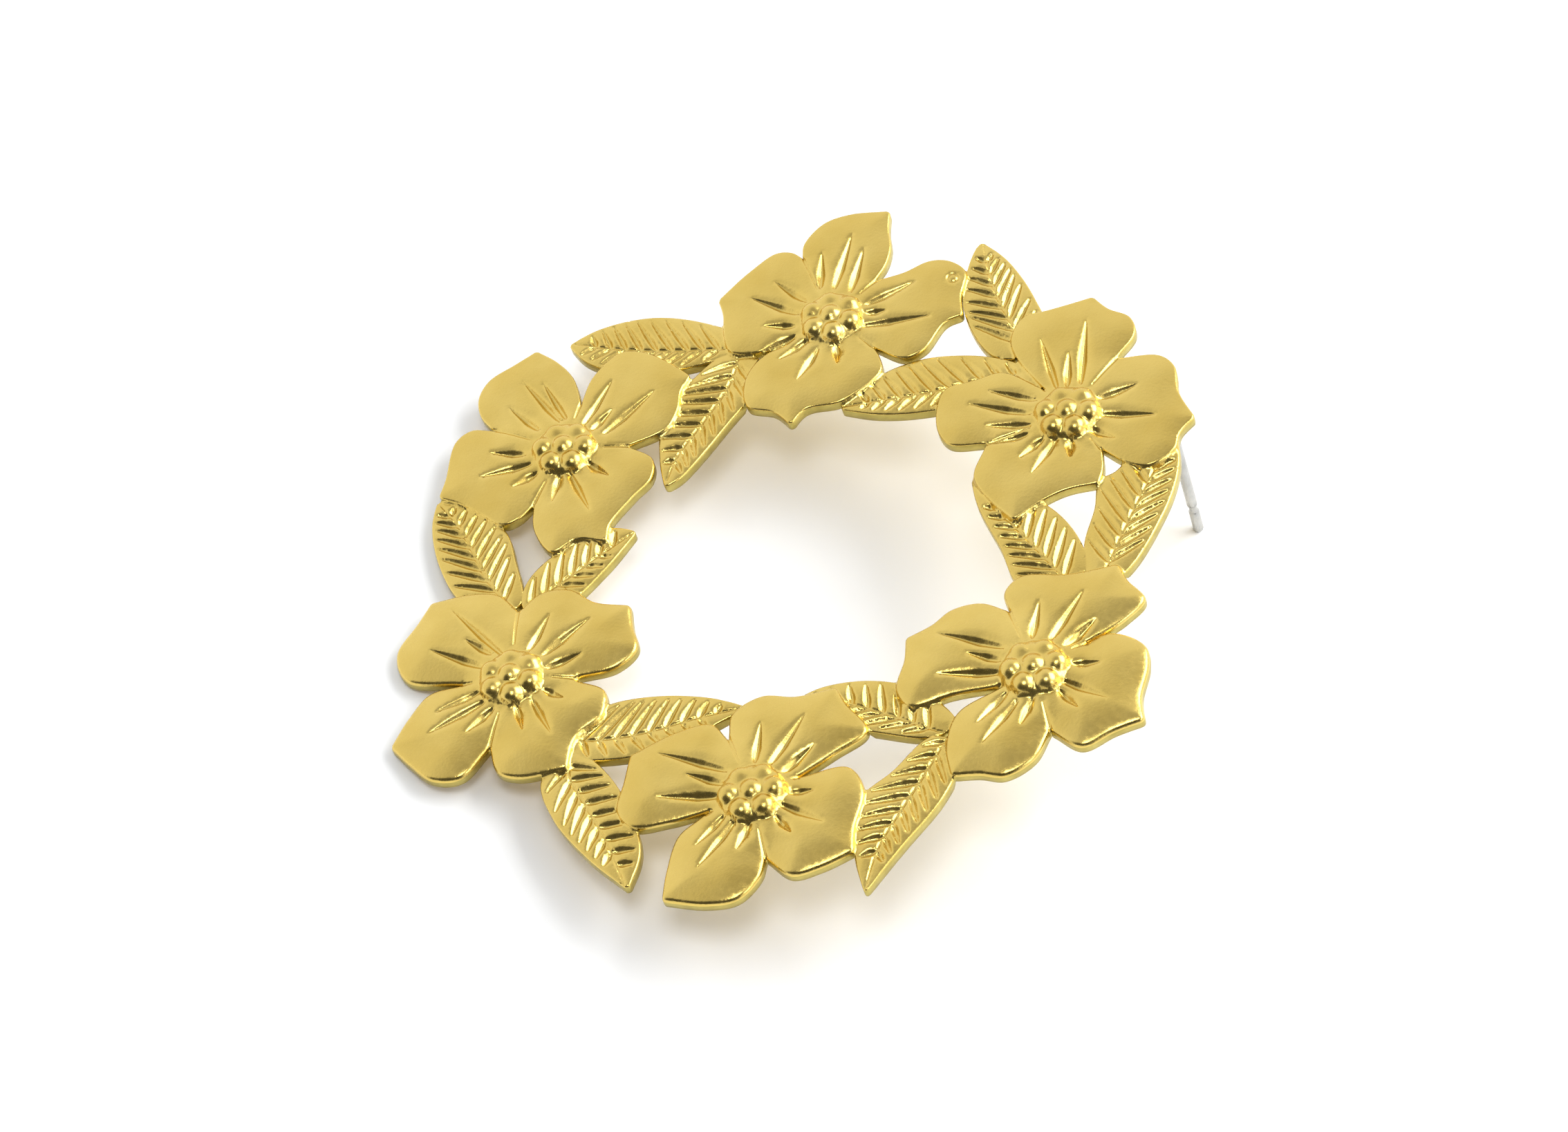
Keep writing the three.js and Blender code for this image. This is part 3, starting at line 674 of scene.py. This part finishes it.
def groove_rows(cut):
    """Points along the middle, the flanks and the lips of a groove."""
    rows = []
    total = cut["lengths"].sum()
    before = 0
    for start, end, length in zip(cut["path"], cut["path"][1:], cut["lengths"]):
        along = end - start
        side = np.array([-along[1], along[0]]) / length
        count = max(2, math.ceil(length / GROOVE_PITCH))
        for part in np.linspace(0, 1, count, endpoint=False):
            width = cut["wide"] * groove_swell((before + part * length) / total, cut)
            rows += [start + along * part + side * width * share for share in GROOVE_ROWS]
        before += length
    rows.append(cut["path"][-1])
    return np.array(rows)


def lattice(low, high, pitch):
    """Points of a triangular lattice over a rectangle."""
    rows = np.arange(low[1], high[1], pitch * math.sqrt(3) / 2)
    columns = np.arange(low[0], high[0], pitch)
    x, y = np.meshgrid(columns, rows)
    x[1::2] += pitch / 2
    return np.stack([x.ravel(), y.ravel()], 1)


def point_tree(spots):
    """A search tree over points in plan."""
    tree = kdtree.KDTree(len(spots))
    for index, (x, y) in enumerate(spots):
        tree.insert((x, y, 0), index)
    tree.balance()
    return tree


def spaced(points, taken, gap):
    """The points that keep a gap to each other and to those already taken."""
    cells = np.floor(points / gap).astype(int)
    _, first = np.unique(cells, axis=0, return_index=True)
    points = points[np.sort(first)]
    tree = point_tree(taken)
    return points[[tree.find((x, y, 0))[2] > gap for x, y in points]]


def seen_leaf(points):
    """Points of the leaves that no flower covers."""
    return points[field(points, FLOWER_POLYGONS, UNDER_FLOWER) < -COVERED]


def edge_rows():
    """Points beside the outlines and along the grooves."""
    rows = []
    for shape in flower_shapes:
        rows += [offset_row(shape["polygon"], distance) for distance in RIM_ROWS]
        rows += [groove_rows(cut) for cut in shape["cuts"]]
        outer = offset_row(shape["polygon"], -STEP_RUN)
        rows.append(outer[field(outer, LEAF_POLYGONS, 0) > RIM_GAP])
    for shape in leaf_shapes:
        leaf_rows = [offset_row(shape["polygon"], distance) for distance in RIM_ROWS]
        leaf_rows += [groove_rows(cut) for cut in shape["cuts"]]
        rows.append(seen_leaf(np.vstack(leaf_rows)))
    rows = np.vstack(rows)
    return rows[field(rows, ALL_POLYGONS, 0) > OUTER_GAP]


def filling(outlines):
    """Points between the outlines: close together where the relief is fine."""
    taken = np.vstack([outlines, spaced(edge_rows(), outlines, RIM_GAP)])
    for shape in flower_shapes:
        reach = DOME_RADIUS + DOME_MARGIN
        grid = lattice(shape["centre"] - reach, shape["centre"] + reach, DOME_PITCH)
        grid = grid[((grid - shape["centre"]) ** 2).sum(1) < reach ** 2]
        taken = np.vstack([taken, spaced(grid, taken, CLOSEST * DOME_PITCH)])
    for polygons, pitch, choose in ((LEAF_POLYGONS, FINE_PITCH, seen_leaf),
                                    (FLOWER_POLYGONS, FLAT_PITCH, lambda points: points)):
        for polygon in polygons:
            grid = lattice(polygon.min(0), polygon.max(0), pitch)
            grid = choose(grid[inside_distance(grid, polygon) > LATTICE_GAP])
            taken = np.vstack([taken, spaced(grid, taken, CLOSEST * pitch)])
    return taken[len(outlines):]


def polygon_edges(polygon, start):
    """Pairs of point numbers round a polygon whose first point is number start."""
    count = len(polygon)
    return [(start + index, start + (index + 1) % count) for index in range(count)]


def triangulated(points, edges):
    """A triangulation with those edges in it, of the area that the shapes cover."""
    result = delaunay_2d_cdt([Vector(p) for p in points], edges, [], 0, 1e-4, False)
    corners = np.array([tuple(v) for v in result[0]])
    faces = np.array([tuple(f) for f in result[2]])
    faces = faces[field(corners[faces].mean(1), ALL_POLYGONS, 0) > 0]
    first, second, third = corners[faces].transpose(1, 0, 2)
    clockwise = cross(second - first, third - first) < 0
    faces[clockwise] = faces[clockwise][:, ::-1]
    used = np.unique(faces)
    renumber = np.zeros(len(corners), int)
    renumber[used] = np.arange(len(used))
    return corners[used], renumber[faces]


def front_sheet():
    """The front in plan, cut along the flowers' and the uncovered leaves' outlines."""
    edges = []
    total = 0
    for polygon in FLOWER_POLYGONS:
        edges += polygon_edges(polygon, total)
        total += len(polygon)
    for polygon in LEAF_POLYGONS:
        shown = field(polygon, FLOWER_POLYGONS, UNDER_FLOWER) < 0
        pairs = polygon_edges(polygon, total)
        edges += [pair for pair, a, b in zip(pairs, shown, np.roll(shown, -1)) if a or b]
        total += len(polygon)
    outlines = np.vstack(ALL_POLYGONS)
    return triangulated(np.vstack([outlines, filling(outlines)]), edges)


def rim_edges(faces):
    """Edges with a face on one side only, each in the direction that its face runs."""
    pairs = faces[:, [0, 1, 1, 2, 2, 0]].reshape(-1, 2)
    _, first, count = np.unique(np.sort(pairs, 1), axis=0, return_index=True, return_counts=True)
    return pairs[first[count == 1]]


def inward(corners, rim):
    """Unit vectors in plan at the rim's points, towards the material."""
    along = corners[rim[:, 1]] - corners[rim[:, 0]]
    along /= np.maximum(np.sqrt((along ** 2).sum(1)), 1e-9)[:, None]
    normals = np.zeros_like(corners)
    for end in (0, 1):
        np.add.at(normals, rim[:, end], np.stack([-along[:, 1], along[:, 0]], 1))
    return normals / np.maximum(np.sqrt((normals ** 2).sum(1)), 1e-9)[:, None]


def wreath_mesh():
    """Points and faces of the closed wreath in its own frame, and which faces are its walls."""
    front, front_faces = front_sheet()
    rim = rim_edges(front_faces)
    rim_spots, flat_rim = np.unique(rim, return_inverse=True)
    rim_pairs = flat_rim.reshape(-1, 2)
    low, high = front.min(0), front.max(0)
    grid = lattice(low, high, BACK_PITCH)
    grid = grid[field(grid, ALL_POLYGONS, 0) > BACK_PITCH / 2]
    back_points = np.vstack([front[rim_spots], grid])
    back, back_faces = triangulated(back_points, [tuple(map(int, pair)) for pair in rim_pairs])
    tree = point_tree(back)
    back_rim = np.array([tree.find((x, y, 0))[1] for x, y in front[rim_spots]])

    heel = back_height(back)
    edge_level = heel[back_rim] + BACK_ROUND
    step = inward(front, rim)[rim_spots]
    back[back_rim] += BACK_ROUND * step
    points = np.vstack([
        np.column_stack([front, front_height(front)]),
        np.column_stack([front[rim_spots], edge_level]),
        np.column_stack([back, heel]),
    ])
    wall_start = len(front)
    back_start = wall_start + len(rim_spots)
    faces = [tuple(face) for face in front_faces.tolist()]
    wall_faces = range(len(faces), len(faces) + 2 * len(rim))
    for (a, b), (i, j) in zip(rim.tolist(), rim_pairs.tolist()):
        low_a, low_b = wall_start + i, wall_start + j
        faces.append((b, a, low_a, low_b))
        faces.append((low_b, low_a, back_start + int(back_rim[i]), back_start + int(back_rim[j])))
    faces += [tuple(face) for face in (back_faces[:, ::-1] + back_start).tolist()]
    return points, faces, wall_faces


# ---- Placing in the row's frame --------------------------------------------------------------
def lying_pose():
    """The stud's place on the table: first the lean, then the turn, then millimetres to metres."""
    raised = math.radians(LEAN_DIRECTION)
    lean_axis = Vector((-math.sin(raised), math.cos(raised), 0))
    lean = Matrix.Rotation(-math.radians(LEAN_ANGLE), 4, lean_axis)
    turn = Matrix.Rotation(math.radians(TURN_ANGLE), 4, "Z")
    return Matrix.Scale(MM, 4) @ Matrix.Translation(WREATH_MIDDLE) @ turn @ lean


def add_piece(name, points, faces, material, node):
    """A smooth piece in the stud's frame that stands for a CAD node."""
    mesh = bpy.data.meshes.new(name)
    mesh.from_pydata([tuple(point) for point in points], [], faces)
    mesh.transform(lying_pose())
    mesh.validate()
    mesh.shade_smooth()
    mesh.materials.append(material)
    piece = bpy.data.objects.new(name, mesh)
    bpy.context.scene.collection.objects.link(piece)
    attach(piece, "root")
    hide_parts(node)
    return piece


# ---- The ear post and its solder -------------------------------------------------------------
ROUND_SIDES = 48
NOSE_STEPS = 6
NUT_GROOVE_STEPS = 16
WIRE_STEPS = 12
FILLET_STEPS = 10
NOSE_RADIUS = 0.2  # of the post's rounded tip
ROOT_SINK = 0.05  # the post and the solder go this far into the sheet
SOLDER_LIP = 0.03  # thickness of the solder where it ends on the post

sheet_back = float(back_height(np.array([POST_PLACE]))[0])
post_tip = -SHEET - POST_LENGTH


def lathe(section, bump):
    """A round piece about the post's axis from (radius, height) pairs, lowest first. bump gives
    a factor on the radius at an angle and a height."""
    points = []
    for radius, height in section:
        for side in range(ROUND_SIDES):
            angle = math.tau * side / ROUND_SIDES
            real = radius * bump(angle, height)
            points.append((POST_PLACE[0] + real * math.cos(angle),
                           POST_PLACE[1] + real * math.sin(angle), height))
    faces = []
    for row in range(len(section) - 1):
        for side in range(ROUND_SIDES):
            ahead = (side + 1) % ROUND_SIDES
            faces.append((row * ROUND_SIDES + side, row * ROUND_SIDES + ahead,
                          (row + 1) * ROUND_SIDES + ahead, (row + 1) * ROUND_SIDES + side))
    last = (len(section) - 1) * ROUND_SIDES
    faces.append(tuple(range(ROUND_SIDES - 1, -1, -1)))
    faces.append(tuple(range(last, last + ROUND_SIDES)))
    return points, faces


def post_section():
    """The wire from its rounded tip, past the groove for the ear nut, to the sheet."""
    section = []
    for step in range(NOSE_STEPS + 1):
        angle = math.pi / 2 * step / NOSE_STEPS
        section.append((POST_RADIUS - NOSE_RADIUS * (1 - math.sin(angle)) + 1e-4,
                        post_tip + NOSE_RADIUS * (1 - math.cos(angle))))
    middle = post_tip + NUT_GROOVE_FROM_TIP
    for step in range(NUT_GROOVE_STEPS + 1):
        share = step / NUT_GROOVE_STEPS * 2 - 1
        dip = NUT_GROOVE_DEPTH * math.cos(share * math.pi / 2) ** 0.5 if abs(share) < 1 else 0
        section.append((POST_RADIUS - dip, middle + share * NUT_GROOVE_WIDTH / 2))
    wire_start = middle + NUT_GROOVE_WIDTH / 2
    for step in range(1, WIRE_STEPS):
        share = step / WIRE_STEPS
        section.append((POST_RADIUS, wire_start + share * (sheet_back - wire_start)))
    section.append((POST_RADIUS, sheet_back + ROOT_SINK))
    return section


def solder_section():
    """A concave fillet, drawn up the wire and spread on the sheet's back."""
    section = []
    for step in range(FILLET_STEPS + 1):
        angle = math.pi / 2 * step / FILLET_STEPS
        spread = (SOLDER_RADIUS - POST_RADIUS) * (1 - math.cos(angle))
        section.append((POST_RADIUS + SOLDER_LIP + spread,
                        sheet_back - SOLDER_HEIGHT * (1 - math.sin(angle))))
    section.append((SOLDER_RADIUS, sheet_back + ROOT_SINK))
    return section


def solder_bump(angle, height):
    """Unevenness of the solder, as a factor on its radius."""
    wave = 0.05 * math.sin(2 * angle + 1) + 0.035 * math.sin(3 * angle + 9 * height)
    return 1 + wave


def wire_bump(angle, height):
    """Unevenness of the wire, as a factor on its radius."""
    return 1 + 0.004 * math.sin(3 * angle + 2.1 * height) + 0.003 * math.sin(7 * height)


# ---- Materials -------------------------------------------------------------------------------
TABLE_GLOW = 0.06  # light that the table gives off by itself


def new_material(name, base, roughness, metallic=1.0):
    """A material with its nodes, its links and its shader node."""
    material = bpy.data.materials.new(name)
    material.use_nodes = True
    shader = material.node_tree.nodes["Principled BSDF"]
    shader.inputs["Base Color"].default_value = (*base, 1)
    shader.inputs["Roughness"].default_value = roughness
    shader.inputs["Metallic"].default_value = metallic
    return material, material.node_tree.nodes, material.node_tree.links, shader


def noise(nodes, links, scale, detail, stretch=(1, 1, 1)):
    """A noise texture in the object's own metres: scale is in features per metre."""
    place = nodes.new("ShaderNodeTexCoord")
    mapping = nodes.new("ShaderNodeMapping")
    mapping.inputs["Scale"].default_value = stretch
    texture = nodes.new("ShaderNodeTexNoise")
    texture.inputs["Scale"].default_value = scale
    texture.inputs["Detail"].default_value = detail
    links.new(place.outputs["Object"], mapping.inputs["Vector"])
    links.new(mapping.outputs["Vector"], texture.inputs["Vector"])
    return texture.outputs["Fac"]


def ramp(nodes, links, source, stops):
    """Maps a grey value to colours or greys."""
    node = nodes.new("ShaderNodeValToRGB")
    elements = node.color_ramp.elements
    while len(elements) < len(stops):
        elements.new(0.5)
    for element, (position, colour) in zip(elements, stops):
        element.position = position
        element.color = (*colour, 1)
    links.new(source, node.inputs["Fac"])
    return node.outputs["Color"]


def grey(value):
    return (value, value, value)


def vary(nodes, links, shader, quality, source, stops):
    """Lets a quality of the surface follow a noise, through a ramp."""
    links.new(ramp(nodes, links, source, stops), shader.inputs[quality])


def bump(nodes, links, shader, source, strength, distance):
    """Fine unevenness that follows a noise: distance is its height in metres."""
    node = nodes.new("ShaderNodeBump")
    node.inputs["Strength"].default_value = strength
    node.inputs["Distance"].default_value = distance
    links.new(source, node.inputs["Height"])
    links.new(node.outputs["Normal"], shader.inputs["Normal"])


def brass_material():
    """Polished brass with faint clouds of tone and a fine grain."""
    material, nodes, links, shader = new_material("brass", (0.72, 0.54, 0.15), 0.3)
    cloud = noise(nodes, links, 260, 4)
    vary(nodes, links, shader, "Base Color", cloud,
         [(0.3, (0.71, 0.51, 0.125)), (0.7, (0.79, 0.59, 0.17))])
    grain = noise(nodes, links, 2600, 3)
    vary(nodes, links, shader, "Roughness", grain, [(0.3, grey(0.2)), (0.75, grey(0.3))])
    bump(nodes, links, shader, noise(nodes, links, 5000, 3), 0.35, 0.00003)
    return material


def cut_edge_shaded_material():
    """Sheared brass, duller than the polished front, with faint upright shear marks. Its colour is
    darker than the front's, partly as painted shade on the walls.
    """
    material, nodes, links, shader = new_material("brass_cut_edge_painted_shade", (0.6, 0.48, 0.15), 0.38)
    cloud = noise(nodes, links, 700, 3)
    vary(nodes, links, shader, "Base Color", cloud,
         # Darker brass than the front's: partly the cut edge's own duller tone, partly painted shade
         # on the walls.
         [(0.3, (0.44, 0.35, 0.09)), (0.7, (0.58, 0.48, 0.14))])
    shear = noise(nodes, links, 2500, 2, (1, 1, 0.15))
    vary(nodes, links, shader, "Roughness", shear, [(0.3, grey(0.3)), (0.7, grey(0.45))])
    bump(nodes, links, shader, shear, 0.4, 0.00004)
    return material


def steel_material():
    """Drawn steel with marks along the wire."""
    material, nodes, links, shader = new_material("post_steel", (0.5, 0.5, 0.48), 0.28)
    drawn = noise(nodes, links, 900, 3, (6, 6, 0.6))
    vary(nodes, links, shader, "Roughness", drawn, [(0.3, grey(0.2)), (0.7, grey(0.4))])
    vary(nodes, links, shader, "Base Color", noise(nodes, links, 500, 4),
         [(0.35, (0.42, 0.42, 0.4)), (0.65, (0.54, 0.54, 0.52))])
    bump(nodes, links, shader, drawn, 0.2, 0.00002)
    return material


def solder_material():
    """Dull grey solder, as melted."""
    material, nodes, links, shader = new_material("solder", (0.5, 0.49, 0.47), 0.45)
    vary(nodes, links, shader, "Base Color", noise(nodes, links, 1500, 5),
         [(0.3, (0.36, 0.35, 0.33)), (0.7, (0.6, 0.59, 0.57))])
    vary(nodes, links, shader, "Roughness", noise(nodes, links, 2500, 3),
         [(0.3, grey(0.35)), (0.7, grey(0.6))])
    bump(nodes, links, shader, noise(nodes, links, 2200, 4), 0.5, 0.00006)
    return material


def floor_material():
    """A plain pale table that gives off a little light of its own."""
    material, nodes, links, shader = new_material("table", (0.9, 0.905, 0.915), 0.6, 0)
    vary(nodes, links, shader, "Base Color", noise(nodes, links, 90, 3),
         [(0.3, (0.89, 0.9, 0.91)), (0.7, (0.91, 0.92, 0.93))])
    shader.inputs["Emission Color"].default_value = (1, 1, 1, 1)
    shader.inputs["Emission Strength"].default_value = TABLE_GLOW
    return material


# ---- Pieces ----------------------------------------------------------------------------------
points, faces, wall_faces = wreath_mesh()
wreath = add_piece("floral_wreath", points, faces, brass_material(), "wreath")
# The walls get the cut edge material, whose darker colour is partly painted shade.
wreath.data.materials.append(cut_edge_shaded_material())
for index in wall_faces:
    wreath.data.polygons[index].material_index = 1
points, faces = lathe(post_section(), wire_bump)
add_piece("post_wire", points, faces, steel_material(), "ear_post")
points, faces = lathe(solder_section(), solder_bump)
add_piece("solder_bead", points, faces, solder_material(), "solder_fillet")

# ---- Table and light, in metres --------------------------------------------------------------
FLOOR_HALF = 1.5
DARK_SIDE = -105  # the dark patch's direction in plan, in degrees from +X
DARK_RISE = 23  # and its angle above the table

floor_mesh = bpy.data.meshes.new("table_top")
floor_corners = [(x * FLOOR_HALF, y * FLOOR_HALF, 0) for x, y in ((-1, -1), (1, -1), (1, 1), (-1, 1))]
floor_mesh.from_pydata(floor_corners, [], [(0, 1, 2, 3)])
floor_mesh.materials.append(floor_material())
floor = bpy.data.objects.new("table_top", floor_mesh)
bpy.context.scene.collection.objects.link(floor)


def softbox(name, place, width, height, radiance):
    """A rectangular area light of the given radiance, aimed at the stud."""
    data = bpy.data.lights.new(name, "AREA")
    data.shape = "RECTANGLE"
    data.size = width
    data.size_y = height
    data.energy = radiance * math.pi * width * height
    light = bpy.data.objects.new(name, data)
    light.location = place
    light.rotation_euler = (-Vector(place)).to_track_quat("-Z", "Y").to_euler()
    light.visible_camera = False
    bpy.context.scene.collection.objects.link(light)


softbox("key_right", (0.279, 0.102, 0.268), 0.36, 0.25, 5.2)
softbox("front_right", (0.276, -0.205, 0.194), 0.1, 0.09, 5)
softbox("overhead", (-0.027, -0.152, 0.423), 0.15, 0.15, 7.5)


def studio_world():
    """Pale surroundings, dimmer overhead, with a dark patch low in front, behind the camera."""
    world = bpy.data.worlds.new("studio")
    world.use_nodes = True
    nodes = world.node_tree.nodes
    links = world.node_tree.links
    direction = nodes.new("ShaderNodeTexCoord").outputs["Generated"]
    parts = []
    side, rise = math.radians(DARK_SIDE), math.radians(DARK_RISE)
    dark_way = (math.cos(rise) * math.cos(side), math.cos(rise) * math.sin(side), math.sin(rise))
    for heading, stops in (
        ((0, 0, 1), [(0.0, grey(1.08)), (0.45, grey(1.04)), (0.72, grey(0.93)), (0.96, grey(0.45))]),
        (dark_way, [(0.54, grey(1.0)), (0.7, grey(0.07))]),
    ):
        dot = nodes.new("ShaderNodeVectorMath")
        dot.operation = "DOT_PRODUCT"
        dot.inputs[1].default_value = heading
        links.new(direction, dot.inputs[0])
        parts.append(ramp(nodes, links, dot.outputs["Value"], stops))
    product = nodes.new("ShaderNodeVectorMath")
    product.operation = "MULTIPLY"
    for index, part in enumerate(parts):
        links.new(part, product.inputs[index])
    links.new(product.outputs["Vector"], nodes["Background"].inputs["Color"])
    bpy.context.scene.world = world


studio_world()
bpy.context.scene.view_settings.view_transform = "Standard"
